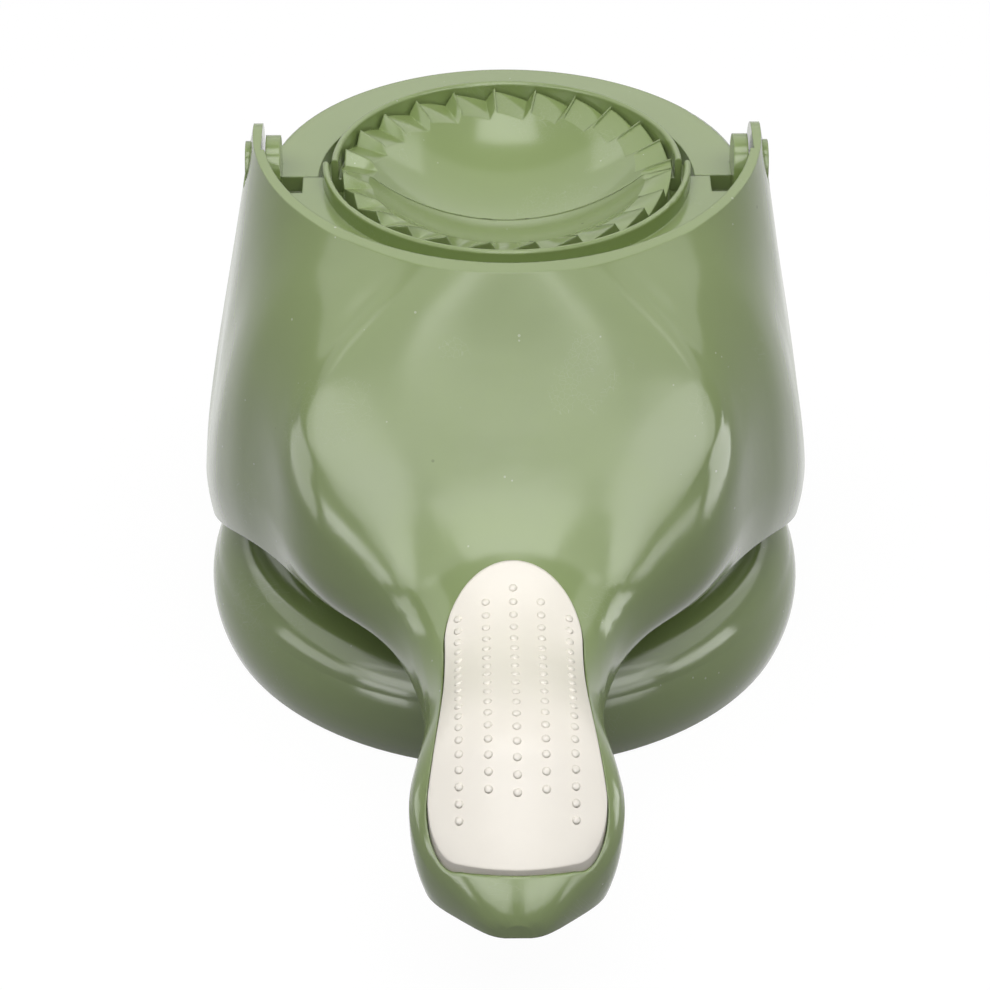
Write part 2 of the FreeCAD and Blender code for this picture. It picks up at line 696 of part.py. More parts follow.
def make_lever():
    """The lever's shell, its grip pad and the cover under its handle."""
    stations = [*HOOD_SECTIONS, *HANDLE_SECTIONS]
    hollow_stations = stations[:stations.index("tip")]
    overcut = number("edge_overcut")
    wall = number("lever_wall")
    outer = lever_form("lever_outside", stations, 0, 0)
    inner = lever_form("lever_inside", hollow_stations, -wall, overcut)
    cover_room = lever_form("cover_room", hollow_stations, -wall - number("cover_gap"), overcut)
    grip_skin = lever_form("grip_skin", stations, number("grip_proud"), 0)
    grip_bed = lever_form("grip_bed", stations, -number("grip_sink"), 0)

    side_view = extruded("lever_side_view", "YZ_Plane", [
        ("ear_radius", "hinge_height", "ear_radius * 0.6", "hinge_height + ear_radius * 0.8"),
        ("ear_radius", "lever_edge_height + hem_round"),
        ("ear_radius - hem_round", "lever_edge_height",
         "ear_radius - 0.293 * hem_round", "lever_edge_height + 0.293 * hem_round"),
        (f"-{FAR}", "lever_edge_height"),
        (f"-{FAR}", f"hinge_height + ear_radius / cos(collar_tilt) - {FAR} * tan(collar_tilt)"),
        ("-ear_radius * sin(collar_tilt)", "hinge_height + ear_radius * cos(collar_tilt)"),
    ], f"-{FAR}", FAR)
    under_deck = box("under_deck", (f"-{FAR}", f"-{FAR}", "0"), (FAR, FAR, "deck_underside"))
    hood = cut("hood", overlap("lever_trimmed", [outer, side_view]), [
        overlap("lever_hollow", [inner, under_deck]),
        rod("collar_bore", "collar_radius", "deck_height", FAR),
        box("ear_faces", ("-(collar_radius)", "-(ear_radius)", "deck_height"),
            ("collar_radius", FAR, FAR)),
    ])
    ring = round_ring("cutter_ring", "front_ring_inside", "front_ring_outside", "deck_underside",
                      "deck_height + front_ring_height")
    bosses = rods("cover_boss", "boss_radius", "cover_top", FAR, COVER_SCREW_PLACES)
    bosses += rods("grip_boss", "boss_radius", "grip_boss_end", FAR, GRIP_SCREW_PLACES)
    inside_bosses = overlap("handle_bosses", [outer, join("boss_rods", bosses)])
    recess_plan = extruded("recess_plan", "XY_Plane", grip_outline("grip_gap"), "grip_lowest", FAR)
    tools = [
        rod("deck_opening", "front_ring_inside", "deck_underside - seat_gap", FAR),
        box("behind_split", ("-(collar_radius)", FRONT_FACE, "0"), ("collar_radius", FAR, FAR)),
        *notches("lever_notch"),
        *on_both_sides("ear_bore", "pin_radius + pin_clearance", "column_radius", FAR),
        *on_both_sides("cap_room", "cap_radius + pin_clearance", "cap_seat", FAR),
        cut("grip_recess", recess_plan, [grip_bed]),
    ]
    tools += rods("grip_peg_hole", "grip_peg_radius + seat_gap / 2", "grip_boss_end", FAR,
                  GRIP_SCREW_PLACES)
    tools += rods("cover_pilot", "pilot", "cover_top", "cover_top + screw_length", COVER_SCREW_PLACES)
    tools += rods("front_pilot", "pilot", "flange_underside", "deck_height - screw_tip_cover",
                  FRONT_SCREW_PLACES)
    cut("lever_shell", join("lever_solid", [hood, ring, inside_bosses]), tools)

    pad_plan = extruded("pad_plan", "XY_Plane", grip_outline("0"), "grip_lowest", FAR)
    pegs = rods("grip_peg", "grip_peg_radius", "grip_boss_end + seat_gap", FAR, GRIP_SCREW_PLACES)
    pad = join("pad_with_pegs", [cut("pad_blank", pad_plan, [grip_bed]), *pegs])
    cut("grip_pad", overlap("pad_crowned", [pad, grip_skin]),
        rods("peg_pilot", "pilot", "grip_boss_end", "grip_boss_end + grip_peg_length",
             GRIP_SCREW_PLACES))

    slab = box("cover_slab", (f"-{FAR}", f"-{FAR}", "cover_underside"),
               (FAR, "-(cover_start)", "cover_top"))
    cut("handle_cover", overlap("cover_blank", [cover_room, slab]),
        rods("cover_hole", "screw_hole", "0", FAR, COVER_SCREW_PLACES))


make_base_shell()
make_base_floor()
screws("floor_screws", FLOOR_SCREW_PLACES, "rim_lift + screw_head_height")
for foot_name, foot_angle in FOOT_ANGLES.items():
    make_foot(foot_name, foot_angle)
make_rear_mould()
screws("rear_mould_screws", REAR_SCREW_PLACES, "flange_underside", "mould_screw_length")
make_front_mould()
screws("front_mould_screws", FRONT_SCREW_PLACES, "flange_underside", "mould_screw_length")
make_lever()
screws("grip_pad_screws", GRIP_SCREW_PLACES, "grip_boss_end", "grip_peg_length - screw_tip_cover")
screws("handle_cover_screws", COVER_SCREW_PLACES, "cover_underside")
on_both_sides("hinge_pin", "pin_radius", "lug_inside + lug_skin + pin_end_gap", "cap_seat")
on_both_sides("hinge_cap", "cap_radius", "cap_seat", "ear_face + cap_proud")
doc.recompute()

NODES = [
    "base_shell", "base_floor", "floor_screws", *FOOT_ANGLES, "rear_mould", "rear_mould_screws",
    "lever_shell", "front_mould", "front_mould_screws", "grip_pad", "grip_pad_screws",
    "handle_cover", "handle_cover_screws", "hinge_pin_left", "hinge_pin_right",
    "hinge_cap_left", "hinge_cap_right",
]
failed = [item.Name for item in doc.Objects if {"Invalid", "Error"} & set(item.State)]
if failed:
    raise RuntimeError("These did not build: " + ", ".join(failed))
os.makedirs("parts", exist_ok=True)
for node in NODES:
    piece = doc.getObject(node)
    if piece.Shape.isNull() or not piece.Shape.isValid():
        raise RuntimeError(node + " has no valid shape")
    piece.Label = node
    piece.Shape.exportStep(f"parts/{node}.step")
    print(f"{node}: {len(piece.Shape.Solids)} solid(s), {piece.Shape.Volume:.0f} mm3")
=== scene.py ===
"""Finishes, small details, camera and studio of a hand dumpling press.

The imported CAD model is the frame: X to the right, Y to the back, Z up, in metres. The handle
points to -Y and the origin lies on the table under the middle of the round mould.
"""

import json
import logging
import math
from dataclasses import dataclass
from enum import Enum
from typing import Any

import bmesh
import bpy
from mathutils import Matrix, Vector

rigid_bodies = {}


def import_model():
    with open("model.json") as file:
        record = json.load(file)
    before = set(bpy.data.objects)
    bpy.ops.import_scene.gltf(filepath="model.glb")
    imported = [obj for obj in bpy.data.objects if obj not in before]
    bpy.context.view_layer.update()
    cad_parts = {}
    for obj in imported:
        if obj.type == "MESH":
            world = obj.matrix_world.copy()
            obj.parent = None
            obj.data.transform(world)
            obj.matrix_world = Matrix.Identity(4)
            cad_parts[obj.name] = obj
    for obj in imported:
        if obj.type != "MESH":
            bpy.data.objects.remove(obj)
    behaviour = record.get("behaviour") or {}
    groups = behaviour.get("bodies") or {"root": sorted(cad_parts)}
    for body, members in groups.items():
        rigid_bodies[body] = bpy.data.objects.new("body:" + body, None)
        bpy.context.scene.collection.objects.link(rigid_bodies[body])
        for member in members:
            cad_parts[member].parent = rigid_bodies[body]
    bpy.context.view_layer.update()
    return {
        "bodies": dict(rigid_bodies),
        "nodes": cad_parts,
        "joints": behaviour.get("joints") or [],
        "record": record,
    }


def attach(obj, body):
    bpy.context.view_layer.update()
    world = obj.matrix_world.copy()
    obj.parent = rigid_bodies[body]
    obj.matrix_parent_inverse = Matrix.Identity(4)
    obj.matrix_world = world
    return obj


MM = 0.001
WHITE = (1.0, 1.0, 1.0, 1.0)
# The range in which a mottle value mostly lies
MOTTLE_LOW, MOTTLE_HIGH = 0.3, 0.7
log = logging.getLogger("dumpling_press")


class Slot(Enum):
    """The record's material slots."""

    SAGE = "sage_plastic"
    CREAM = "cream_grip"
    PIN = "pin_steel"
    SCREW = "screw_steel"
    RUBBER = "foot_rubber"


class Body(Enum):
    """The two rigid bodies of the press."""

    BASE = "base"
    LEVER = "lever"


class NodeSheet:
    """Adds nodes to one node tree and wires them."""

    def __init__(self, tree: bpy.types.NodeTree) -> None:
        """Keep the tree.

        Args:
            tree: A material's, world's or group's node tree.
        """
        self.tree = tree

    def add(self, kind: str, settings: dict[str, Any] | None = None,
            **inputs: Any) -> bpy.types.Node:
        """Add a node, set its properties and fill its inputs.

        Args:
            kind: The node's Blender type name.
            settings: Properties of the node, such as an operation.
            inputs: Values or output sockets by input name; an underscore stands for a space,
                and a name such as i0 picks an input by its number.

        Returns:
            The new node.
        """
        node = self.tree.nodes.new(kind)
        for name, value in (settings or {}).items():
            setattr(node, name, value)
        for name, value in inputs.items():
            numbered = name[0] == "i" and name[1:].isdigit()
            socket = node.inputs[int(name[1:])] if numbered else node.inputs[name.replace("_", " ")]
            if isinstance(value, bpy.types.NodeSocket):
                self.tree.links.new(value, socket)
            else:
                socket.default_value = value
        return node

    def math(self, operation: str, first: Any, second: Any = 0.0,
             clamp: bool = False) -> bpy.types.NodeSocket:
        """A Math node's result.

        Args:
            operation: The Math node's operation.
            first: First value or socket.
            second: Second value or socket.
            clamp: Whether the result is kept between 0 and 1.

        Returns:
            The value socket.
        """
        node = self.add("ShaderNodeMath", {"operation": operation, "use_clamp": clamp},
                        i0=first, i1=second)
        return node.outputs[0]

    def span(self, value: Any, low: float, high: float,
             to_low: float = 0.0, to_high: float = 1.0) -> bpy.types.NodeSocket:
        """A Map Range node's smooth, clamped result.

        Args:
            value: Socket to map.
            low: Value that gives to_low.
            high: Value that gives to_high.
            to_low: Result at the low end.
            to_high: Result at the high end.

        Returns:
            The value socket.
        """
        node = self.add("ShaderNodeMapRange", {"interpolation_type": "SMOOTHSTEP"}, Value=value,
                        From_Min=low, From_Max=high, To_Min=to_low, To_Max=to_high)
        return node.outputs["Result"]

    def tint(self, factor: Any, first: Any, second: Any) -> bpy.types.NodeSocket:
        """A colour Mix node's result.

        Args:
            factor: How much of the second colour shows.
            first: First colour or socket.
            second: Second colour or socket.

        Returns:
            The colour socket.
        """
        node = self.add("ShaderNodeMix", {"data_type": "RGBA"}, i0=factor, i6=first, i7=second)
        return node.outputs[2]

    def group(self, tree: bpy.types.NodeTree, **inputs: Any) -> bpy.types.NodeSocket:
        """A node group's only result.

        Args:
            tree: The shared group.
            inputs: Values or output sockets by input name.

        Returns:
            The group's output socket.
        """
        return self.add("ShaderNodeGroup", {"node_tree": tree}, **inputs).outputs[0]

    def seen(self, rays: bpy.types.Node) -> bpy.types.NodeSocket:
        """Whether a ray comes from the camera or a mirroring surface.

        Args:
            rays: A Light Path node of this tree.

        Returns:
            The value socket, 1 for such rays.
        """
        return self.math("MAXIMUM", rays.outputs["Is Camera Ray"], rays.outputs["Is Glossy Ray"])


class SurfaceGroups:
    """Shader node groups that several finishes share."""

    scratch_axis = (0.3, 0.5, 0.8)
    scratch_stretch = (1.0, 22.0, 22.0)
    scratch_width = 0.035
    edge_samples = 6

    def __init__(self) -> None:
        """Build each group once."""
        self.specks = self._specks()
        self.hairlines = self._hairlines()
        self.mottle = self._mottle()
        self.soft_edges = self._soft_edges()

    @staticmethod
    def _new(name: str, inputs: dict[str, tuple[str, float]],
             outputs: dict[str, str]) -> tuple[bpy.types.NodeTree, NodeSheet, Any, Any]:
        """Start a group.

        Args:
            name: The group's name.
            inputs: Socket type and default by input name; a vector has no default.
            outputs: Socket type by output name.

        Returns:
            The tree, its sheet, its input node and its output node.
        """
        tree = bpy.data.node_groups.new(name, "ShaderNodeTree")
        for label, (kind, default) in inputs.items():
            socket = tree.interface.new_socket(label, in_out="INPUT", socket_type=kind)
            if kind == "NodeSocketFloat":
                socket.default_value = default
        for label, kind in outputs.items():
            tree.interface.new_socket(label, in_out="OUTPUT", socket_type=kind)
        sheet = NodeSheet(tree)
        return tree, sheet, sheet.add("NodeGroupInput"), sheet.add("NodeGroupOutput")

    def _specks(self) -> bpy.types.NodeTree:
        """Scattered dots: dust and moulding specks.

        Returns:
            The group, with a mask that is 1 on a speck.
        """
        tree, sheet, given, result = self._new(
            "Scattered specks",
            {"Vector": ("NodeSocketVector", 0), "Scale": ("NodeSocketFloat", 300),
             "Share": ("NodeSocketFloat", 0.1), "Size": ("NodeSocketFloat", 0.2)},
            {"Mask": "NodeSocketFloat"})
        cells = sheet.add("ShaderNodeTexVoronoi", Vector=given.outputs["Vector"],
                          Scale=given.outputs["Scale"])
        pick = sheet.add("ShaderNodeSeparateColor", Color=cells.outputs["Color"])
        chosen = sheet.math("LESS_THAN", pick.outputs[0], given.outputs["Share"])
        size = sheet.math("MULTIPLY", given.outputs["Size"], pick.outputs[1])
        inside = sheet.math("LESS_THAN", cells.outputs["Distance"], size)
        sheet.tree.links.new(sheet.math("MULTIPLY", chosen, inside), result.inputs["Mask"])
        return tree

    def _hairlines(self) -> bpy.types.NodeTree:
        """Short fine scratches in one direction.

        Returns:
            The group, with a mask that is 1 in a scratch.
        """
        tree, sheet, given, result = self._new(
            "Hairline scratches",
            {"Vector": ("NodeSocketVector", 0), "Turn": ("NodeSocketFloat", 0),
             "Scale": ("NodeSocketFloat", 60), "Share": ("NodeSocketFloat", 0.5)},
            {"Mask": "NodeSocketFloat"})
        turned = sheet.add("ShaderNodeVectorRotate", {"rotation_type": "AXIS_ANGLE"},
                           Vector=given.outputs["Vector"], Axis=self.scratch_axis,
                           Angle=given.outputs["Turn"])
        drawn = sheet.add("ShaderNodeVectorMath", {"operation": "MULTIPLY"},
                          i0=turned.outputs[0], i1=self.scratch_stretch)
        cells = sheet.add("ShaderNodeTexVoronoi", {"feature": "DISTANCE_TO_EDGE"},
                          Vector=drawn.outputs[0], Scale=given.outputs["Scale"])
        line = sheet.span(cells.outputs["Distance"], 0.0, self.scratch_width, 1.0, 0.0)
        where = sheet.add("ShaderNodeTexNoise", Vector=turned.outputs[0],
                          Scale=given.outputs["Scale"], Detail=3.0)
        floor = sheet.math("SUBTRACT", 1.0, given.outputs["Share"])
        worn = sheet.math("GREATER_THAN", where.outputs[0], floor)
        sheet.tree.links.new(sheet.math("MULTIPLY", line, worn), result.inputs["Mask"])
        return tree

    def _mottle(self) -> bpy.types.NodeTree:
        """Slow unevenness, as in moulded plastic and on handled surfaces.

        Returns:
            The group, with a value around 0.5.
        """
        tree, sheet, given, result = self._new(
            "Slow mottle",
            {"Vector": ("NodeSocketVector", 0), "Scale": ("NodeSocketFloat", 30)},
            {"Value": "NodeSocketFloat"})
        broad = sheet.add("ShaderNodeTexNoise", Vector=given.outputs["Vector"],
                          Scale=given.outputs["Scale"], Detail=4.0, Roughness=0.6)
        sheet.tree.links.new(broad.outputs[0], result.inputs["Value"])
        return tree

    def _soft_edges(self) -> bpy.types.NodeTree:
        """Rounded-looking edges with fine relief on them.

        Returns:
            The group, with a normal.
        """
        tree, sheet, given, result = self._new(
            "Soft edges",
            {"Radius": ("NodeSocketFloat", 0.0005), "Height": ("NodeSocketFloat", 0),
             "Depth": ("NodeSocketFloat", 0.00002)},
            {"Normal": "NodeSocketVector"})
        rounded = sheet.add("ShaderNodeBevel", {"samples": self.edge_samples},
                            Radius=given.outputs["Radius"])
        relief = sheet.add("ShaderNodeBump", Distance=given.outputs["Depth"],
                           Height=given.outputs["Height"], Normal=rounded.outputs[0])
        sheet.tree.links.new(relief.outputs[0], result.inputs["Normal"])
        return tree


@dataclass(frozen=True)
class Specks:
    """A scatter of dots: cells per metre, share of cells, largest radius in a cell, strength."""

    scale: float
    share: float
    size: float
    strength: float


@dataclass(frozen=True)
class Finish:
    """A surface finish: what its material needs in common."""

    name: str
    colour: tuple[float, float, float]
    roughness: float
    edge_radius: float

    def start(self) -> tuple[bpy.types.Material, NodeSheet, bpy.types.NodeSocket]:
        """A new material with a Principled BSDF on Object coordinates.

        Returns:
            The material, its sheet and the coordinates' socket.
        """
        material = bpy.data.materials.new(self.name)
        material.use_nodes = True
        sheet = NodeSheet(material.node_tree)
        place = sheet.add("ShaderNodeTexCoord").outputs["Object"]
        return material, sheet, place

    def shade(self, tone: float) -> tuple[float, float, float, float]:
        """The finish's colour, lightened or darkened.

        Args:
            tone: Factor on the colour.

        Returns:
            The colour with alpha.
        """
        return (*(min(1.0, part * tone) for part in self.colour), 1.0)

    def gloss(self, sheet: NodeSheet, value: bpy.types.NodeSocket, spread: tuple[float, float],
              high: float = MOTTLE_HIGH) -> bpy.types.NodeSocket:
        """Roughness that varies over the surface.

        Args:
            sheet: The material's sheet.
            value: A mottle value.
            spread: Factors on the roughness at the mottle's low and high end.
            high: The mottle's high end.

        Returns:
            The roughness socket.
        """
        return sheet.span(value, MOTTLE_LOW, high,
                          self.roughness * spread[0], self.roughness * spread[1])

    @staticmethod
    def wire(sheet: NodeSheet, colour: bpy.types.NodeSocket, gloss: bpy.types.NodeSocket,
             normal: bpy.types.NodeSocket) -> bpy.types.Node:
        """Link colour, roughness and normal to the Principled BSDF.

        Args:
            sheet: The material's sheet.
            colour: The base colour.
            gloss: The roughness.
            normal: The normal.

        Returns:
            The shader.
        """
        shader = sheet.tree.nodes["Principled BSDF"]
        for name, socket in (("Base Color", colour), ("Roughness", gloss), ("Normal", normal)):
            sheet.tree.links.new(socket, shader.inputs[name])
        return shader


@dataclass(frozen=True)
class MouldedPlastic(Finish):
    """Injection-moulded glossy plastic with specks, dust and hairline scratches."""

    ior: float = 1.49
    mottle_scale: float = 18.0
    dark_specks: Specks = Specks(260.0, 0.02, 0.11, 0.45)
    pale_dust: Specks = Specks(700.0, 0.035, 0.2, 0.22)
    dust_colour: tuple[float, float, float, float] = (0.8, 0.8, 0.74, 1.0)
    scratch_runs: tuple[tuple[float, float], ...] = ((0.4, 34.0), (2.1, 47.0))
    scratch_share: float = 0.36
    scratch_colour: tuple[float, float, float, float] = (0.7, 0.72, 0.62, 1.0)
    scratch_strength: float = 0.07
    scratch_dulling: float = 0.04
    scratch_depth: float = 0.15
    smudge_scale: float = 55.0
    smudge_high: float = 0.75
    ripple_scale: float = 120.0
    ripple_depth: float = 0.00003

    def make(self, groups: SurfaceGroups) -> bpy.types.Material:
        """Build the material.

        Args:
            groups: The shared node groups.

        Returns:
            The material.
        """
        material, sheet, place = self.start()
        cloud = sheet.group(groups.mottle, Vector=place, Scale=self.mottle_scale)
        colour = sheet.tint(sheet.span(cloud, MOTTLE_LOW, MOTTLE_HIGH),
                            self.shade(0.97), self.shade(1.03))
        for specks, tone in ((self.dark_specks, self.shade(0.3)),
                             (self.pale_dust, self.dust_colour)):
            mask = sheet.group(groups.specks, Vector=place, Scale=specks.scale,
                               Share=specks.share, Size=specks.size)
            colour = sheet.tint(sheet.math("MULTIPLY", mask, specks.strength), colour, tone)
        lengthwise, crosswise = (
            sheet.group(groups.hairlines, Vector=place, Turn=turn, Scale=scale,
                        Share=self.scratch_share)
            for turn, scale in self.scratch_runs)
        scratches = sheet.math("MAXIMUM", lengthwise, crosswise)
        colour = sheet.tint(sheet.math("MULTIPLY", scratches, self.scratch_strength), colour,
                            self.scratch_colour)
        smudge = sheet.group(groups.mottle, Vector=place, Scale=self.smudge_scale)
        gloss = self.gloss(sheet, smudge, (0.85, 1.25), self.smudge_high)
        gloss = sheet.math("ADD", gloss, sheet.math("MULTIPLY", scratches, self.scratch_dulling),
                           clamp=True)
        ripple = sheet.group(groups.mottle, Vector=place, Scale=self.ripple_scale)
        height = sheet.math("SUBTRACT", ripple,
                            sheet.math("MULTIPLY", scratches, self.scratch_depth))
        normal = sheet.group(groups.soft_edges, Height=height, Depth=self.ripple_depth,
                             Radius=self.edge_radius)
        shader = self.wire(sheet, colour, gloss, normal)
        shader.inputs["IOR"].default_value = self.ior
        return material


@dataclass(frozen=True)
class SatinGrip(Finish):
    """Cream satin plastic with a little dust."""

    mottle_scale: float = 40.0
    dust: Specks = Specks(420.0, 0.03, 0.12, 0.25)
    grain_scale: float = 900.0
    grain_depth: float = 0.00002

    def make(self, groups: SurfaceGroups) -> bpy.types.Material:
        """Build the material.

        Args:
            groups: The shared node groups.

        Returns:
            The material.
        """
        material, sheet, place = self.start()
        cloud = sheet.group(groups.mottle, Vector=place, Scale=self.mottle_scale)
        colour = sheet.tint(sheet.span(cloud, MOTTLE_LOW, MOTTLE_HIGH),
                            self.shade(0.975), self.shade(1.015))
        dust = sheet.group(groups.specks, Vector=place, Scale=self.dust.scale,
                           Share=self.dust.share, Size=self.dust.size)
        colour = sheet.tint(sheet.math("MULTIPLY", dust, self.dust.strength), colour,
                            self.shade(0.6))
        grain = sheet.group(groups.mottle, Vector=place, Scale=self.grain_scale)
        gloss = self.gloss(sheet, cloud, (0.9, 1.1))
        normal = sheet.group(groups.soft_edges, Height=grain, Depth=self.grain_depth,
                             Radius=self.edge_radius)
        self.wire(sheet, colour, gloss, normal)
        return material


@dataclass(frozen=True)
class Steel(Finish):
    """Bare or zinc-plated steel with fine turning marks."""

    mottle_scale: float = 500.0
    mark_turn: float = 0.9
    mark_scale: float = 300.0
    mark_share: float = 0.6
    mark_depth: float = 0.00002

    def make(self, groups: SurfaceGroups) -> bpy.types.Material:
        """Build the material.

        Args:
            groups: The shared node groups.

        Returns:
            The material.
        """
        material, sheet, place = self.start()
        cloud = sheet.group(groups.mottle, Vector=place, Scale=self.mottle_scale)
        colour = sheet.tint(cloud, self.shade(0.85), self.shade(1.1))
        marks = sheet.group(groups.hairlines, Vector=place, Turn=self.mark_turn,
                            Scale=self.mark_scale, Share=self.mark_share)
        gloss = self.gloss(sheet, cloud, (0.8, 1.2))
        normal = sheet.group(groups.soft_edges, Height=marks, Depth=self.mark_depth,
                             Radius=self.edge_radius)
        shader = self.wire(sheet, colour, gloss, normal)
        shader.inputs["Metallic"].default_value = 1.0
        return material


@dataclass(frozen=True)
class Rubber(Finish):
    """Matt rubber with a fine grain."""

    mottle_scale: float = 220.0
    grain_scale: float = 1500.0
    grain_depth: float = 0.00005

    def make(self, groups: SurfaceGroups) -> bpy.types.Material:
        """Build the material.

        Args:
            groups: The shared node groups.

        Returns:
            The material.
        """
        material, sheet, place = self.start()
        cloud = sheet.group(groups.mottle, Vector=place, Scale=self.mottle_scale)
        colour = sheet.tint(cloud, self.shade(0.8), self.shade(1.2))
        grain = sheet.group(groups.mottle, Vector=place, Scale=self.grain_scale)
        normal = sheet.group(groups.soft_edges, Height=grain, Depth=self.grain_depth,
                             Radius=self.edge_radius)
        gloss = self.gloss(sheet, cloud, (0.95, 1.05))
        self.wire(sheet, colour, gloss, normal)
        return material


@dataclass
class Wardrobe:
    """The press's finishes, one for each material slot."""

    sage: MouldedPlastic = MouldedPlastic("sage_gloss_plastic", (0.22, 0.29, 0.105), 0.15, 0.0005)
    cream: SatinGrip = SatinGrip("cream_satin_plastic", (0.8, 0.755, 0.675), 0.42, 0.0006)
    pin: Steel = Steel("turned_pin_steel", (0.58, 0.57, 0.55), 0.3, 0.0003)
    screw: Steel = Steel("zinc_screw_steel", (0.5, 0.5, 0.5), 0.38, 0.0002)
    rubber: Rubber = Rubber("grey_foot_rubber", (0.06, 0.065, 0.055), 0.8, 0.0003)

    def make(self, groups: SurfaceGroups) -> dict[Slot, bpy.types.Material]:
        """Build every material.

        Args:
            groups: The shared node groups.

        Returns:
            The materials by slot.
        """
        return {Slot.SAGE: self.sage.make(groups), Slot.CREAM: self.cream.make(groups),
                Slot.PIN: self.pin.make(groups), Slot.SCREW: self.screw.make(groups),
                Slot.RUBBER: self.rubber.make(groups)}


@dataclass
class CadDresser:
    """Gives each CAD node the material of its slot."""

    materials: dict[Slot, bpy.types.Material]

    def dress(self, frame: dict[str, Any]) -> None:
        """Put materials on all CAD nodes.
        """
        for row in frame["record"]["subparts"]:
            node = frame["nodes"][row["node"]]
            node.data.materials.clear()
            node.data.materials.append(self.materials[Slot(row["material_slot"])])
            log.info("%s wears %s", row["node"], row["material_slot"])


class Workshop:
    """Turns finished meshes into pieces of the press."""

    @staticmethod
    def finish(name: str, mesh: bmesh.types.BMesh, material: bpy.types.Material, body: Body,
               slot: Slot) -> bpy.types.Object:
        """Make a smooth-shaded piece that rides on a body.

        Args:
            name: The piece's name.
            mesh: Its mesh, in the row frame.
            material: Its material.
            body: The body it moves with.
            slot: The record's slot of its finish; not used.

        Returns:
            The piece.
        """
        data = bpy.data.meshes.new(name)
        mesh.to_mesh(data)
        mesh.free()
        data.materials.append(material)
        data.polygons.foreach_set("use_smooth", [True] * len(data.polygons))
        piece = bpy.data.objects.new(name, data)
        bpy.context.scene.collection.objects.link(piece)
        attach(piece, body.value)
        log.info("%s: %d faces", name, len(data.polygons))
        return piece


@dataclass
class GripDots:
    """Rows of small raised dots along the cream grip."""

    # X, first Y and number of dots of each column, in millimetres
    columns: tuple[tuple[float, float, int], ...] = (
        (-10.7, -91.5, 19), (-5.3, -89.2, 17), (0.0, -86.6, 18),
        (5.3, -89.2, 17), (10.7, -91.5, 19))
    pitch: float = 3.1
    radius: float = 0.85
    height: float = 0.32
    meridians: int = 10
    parallels: int = 6
    clear_above: float = 200.0

    def _seat(self, pad: bpy.types.Object, across: float, along: float) -> tuple[Vector, Vector]:
        """Where a dot sits on the pad.

        Args:
            pad: The CAD grip pad.
            across: X in millimetres.
            along: Y in millimetres.

        Returns:
            The place and the surface's normal there.
        """
        above = Vector((across, along, self.clear_above)) * MM
        _, place, normal, _ = pad.ray_cast(above, Vector((0, 0, -1)))
        return place, normal

    def build(self, pad: bpy.types.Object, material: bpy.types.Material) -> bpy.types.Object:
        """Make the dots as one piece on the lever.

        Args:
            pad: The CAD grip pad.
            material: The grip's material.

        Returns:
            The piece.
        """
        mesh = bmesh.new()
        size = Matrix.Diagonal((self.radius * MM, self.radius * MM, self.height * MM, 1.0))
        for across, along, count in self.columns:
            for _ in range(count):
                place, normal = self._seat(pad, across, along)
                turn = normal.to_track_quat("Z", "Y").to_matrix().to_4x4()
                bmesh.ops.create_uvsphere(mesh, u_segments=self.meridians,
                                          v_segments=self.parallels, radius=1.0,
                                          matrix=Matrix.Translation(place) @ turn @ size)
                along -= self.pitch * normal.z
        return Workshop.finish("grip_dots", mesh, material, Body.LEVER, Slot.CREAM)


@dataclass(frozen=True)
class Panel:
    """A softbox, with angles in degrees and lengths in metres.

    The bearing counts from the front to the right, the lift from the level of the aim. A panel
    that fills gives soft light, and one that is mirrored shows in glossy surfaces.
    """

    name: str
    bearing: float
    lift: float
    distance: float
    width: float
    height: float
    radiance: float
    fills: bool = True
    mirrored: bool = True


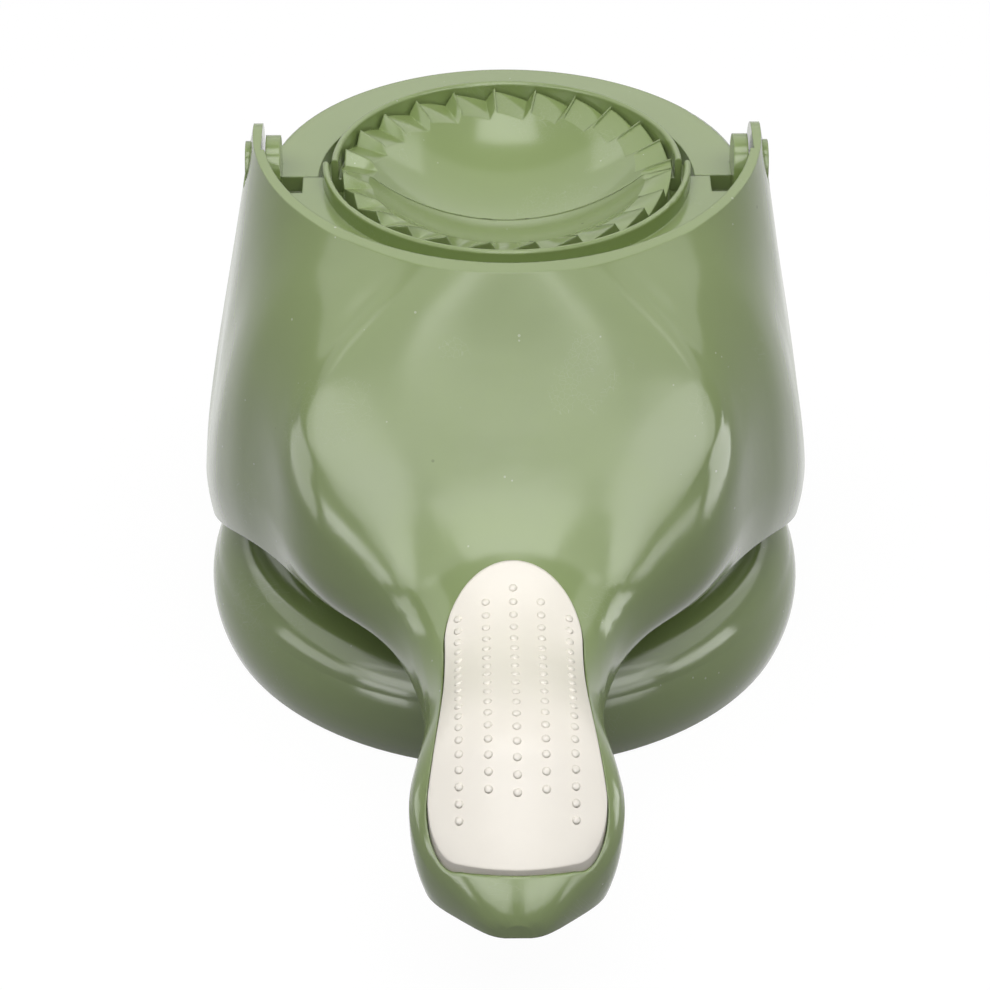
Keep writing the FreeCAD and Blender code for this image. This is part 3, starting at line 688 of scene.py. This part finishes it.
@dataclass
class Studio:
    """The photograph's camera, soft lamps and a white floor."""

    aim: tuple[float, float, float] = (0.0, -0.065, 0.09)
    panels: tuple[Panel, ...] = (
        Panel("sky_bank", 0.0, 70.0, 1.2, 1.9, 1.0, 3.2, mirrored=False),
        Panel("left_fill", -80.0, 32.0, 1.0, 0.8, 0.5, 1.1, mirrored=False),
        Panel("right_fill", 80.0, 32.0, 1.0, 0.8, 0.5, 1.1, mirrored=False),
        Panel("front_tent", 0.0, 34.0, 1.2, 3.0, 1.05, 1.7, fills=False),
        Panel("left_tent", -95.0, 37.0, 1.2, 1.6, 0.6, 1.7, fills=False),
        Panel("right_tent", 95.0, 37.0, 1.2, 1.6, 0.6, 1.7, fills=False),
        Panel("rear_tent", 180.0, 45.0, 1.2, 2.4, 1.0, 0.9, fills=False),
        Panel("zenith_box", 0.0, 84.0, 1.0, 0.5, 0.4, 4.5, fills=False),
        Panel("front_bank", 0.0, 43.0, 1.1, 0.46, 0.72, 3.4, fills=False),
        Panel("left_wing", -34.0, 12.5, 1.0, 1.1, 0.37, 3.6, fills=False),
        Panel("right_wing", 34.0, 12.5, 1.0, 1.1, 0.37, 3.6, fills=False),
        Panel("left_strip", -49.0, -11.4, 0.337, 0.12, 0.05, 6.0, fills=False),
        Panel("right_strip", 49.0, -11.4, 0.337, 0.12, 0.05, 4.0, fills=False),
        Panel("left_side", -83.4, -11.7, 0.221, 0.12, 0.06, 3.2, fills=False),
        Panel("right_side", 83.4, -11.7, 0.221, 0.12, 0.06, 5.0, fills=False),
    )
    eye: tuple[float, float, float] = (-0.01205, -0.6311, 0.44909)
    yaw: float = -0.01564
    pitch: float = math.radians(33.785)
    roll: float = math.radians(0.197)
    focal_pixels: float = 3465.2
    frame_pixels: float = 990.0
    sensor_width: float = 36.0
    far_end: float = 20.0
    diffuse_level: float = 0.04
    floor_reach: float = 3.0
    floor_white: float = 1.03
    floor_glow_share: float = 0.93
    paper_unseen: tuple[float, float, float, float] = (0.1, 0.1, 0.1, 1.0)
    paper_seen: tuple[float, float, float, float] = (0.85, 0.85, 0.85, 1.0)

    def _camera(self) -> None:
        """Place the camera at the photograph's view."""
        data = bpy.data.cameras.new("photo_view")
        data.sensor_width = self.sensor_width
        data.lens = data.sensor_width * self.focal_pixels / self.frame_pixels
        data.clip_end = self.far_end
        camera = bpy.data.objects.new("photo_view", data)
        turn = (Matrix.Rotation(self.yaw, 4, "Z")
                @ Matrix.Rotation(math.pi / 2 - self.pitch, 4, "X")
                @ Matrix.Rotation(self.roll, 4, "Z"))
        camera.matrix_world = Matrix.Translation(self.eye) @ turn
        bpy.context.scene.collection.objects.link(camera)
        bpy.context.scene.camera = camera

    def _panel(self, panel: Panel) -> None:
        """Hang one lamp round the press.

        Args:
            panel: The lamp's place, size and brightness.
        """
        data = bpy.data.lights.new(panel.name, "AREA")
        data.shape = "RECTANGLE"
        data.size, data.size_y = panel.width, panel.height
        data.energy = panel.radiance * math.pi * panel.width * panel.height
        lamp = bpy.data.objects.new(panel.name, data)
        bearing, lift = math.radians(panel.bearing), math.radians(panel.lift)
        outwards = Vector((math.sin(bearing) * math.cos(lift), -math.cos(bearing) * math.cos(lift),
                           math.sin(lift)))
        facing = (-outwards).to_track_quat("-Z", "Y").to_matrix().to_4x4()
        place = Vector(self.aim) + outwards * panel.distance
        lamp.matrix_world = Matrix.Translation(place) @ facing
        lamp.visible_diffuse = panel.fills
        lamp.visible_glossy = panel.mirrored
        bpy.context.scene.collection.objects.link(lamp)

    def _world(self) -> None:
        """White for what is seen or mirrored, a plain grey level for soft light."""
        world = bpy.data.worlds.new("white_room")
        world.use_nodes = True
        bpy.context.scene.world = world
        sheet = NodeSheet(world.node_tree)
        rays = sheet.add("ShaderNodeLightPath")
        shown = sheet.math("MAXIMUM", sheet.seen(rays), rays.outputs["Is Transmission Ray"])
        level = sheet.span(shown, 0.0, 1.0, self.diffuse_level, 1.0)
        background = world.node_tree.nodes["Background"]
        background.inputs["Color"].default_value = WHITE
        sheet.tree.links.new(level, background.inputs["Strength"])

    def _floor(self) -> None:
        """A wide white floor that keeps a faint shadow."""
        mesh = bmesh.new()
        bmesh.ops.create_grid(mesh, x_segments=1, y_segments=1, size=self.floor_reach)
        data = bpy.data.meshes.new("floor")
        mesh.to_mesh(data)
        mesh.free()
        material = bpy.data.materials.new("white_floor")
        material.use_nodes = True
        sheet = NodeSheet(material.node_tree)
        material.node_tree.nodes.remove(material.node_tree.nodes["Principled BSDF"])
        white = sheet.add("ShaderNodeEmission", Color=WHITE, Strength=self.floor_white)
        shown = sheet.seen(sheet.add("ShaderNodeLightPath"))
        share = sheet.math("MULTIPLY", shown, self.floor_glow_share)
        tone = sheet.tint(shown, self.paper_unseen, self.paper_seen)
        paper = sheet.add("ShaderNodeBsdfDiffuse", Color=tone)
        mixed = sheet.add("ShaderNodeMixShader", i0=share, i1=paper.outputs[0], i2=white.outputs[0])
        output = material.node_tree.nodes["Material Output"]
        sheet.tree.links.new(mixed.outputs[0], output.inputs["Surface"])
        data.materials.append(material)
        floor = bpy.data.objects.new("floor", data)
        bpy.context.scene.collection.objects.link(floor)

    def build(self) -> None:
        """Set up camera, lamps, room and floor."""
        self._camera()
        self._world()
        self._floor()
        for panel in self.panels:
            self._panel(panel)
        bpy.context.scene.view_settings.view_transform = "Standard"
        log.info("studio ready")


def main() -> None:
    """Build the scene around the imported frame."""
    logging.basicConfig(level=logging.INFO, format="%(name)s: %(message)s")
    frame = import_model()
    materials = Wardrobe().make(SurfaceGroups())
    CadDresser(materials).dress(frame)
    GripDots().build(frame["nodes"]["grip_pad"], materials[Slot.CREAM])
    Studio().build()


if __name__ == "__main__":
    main()
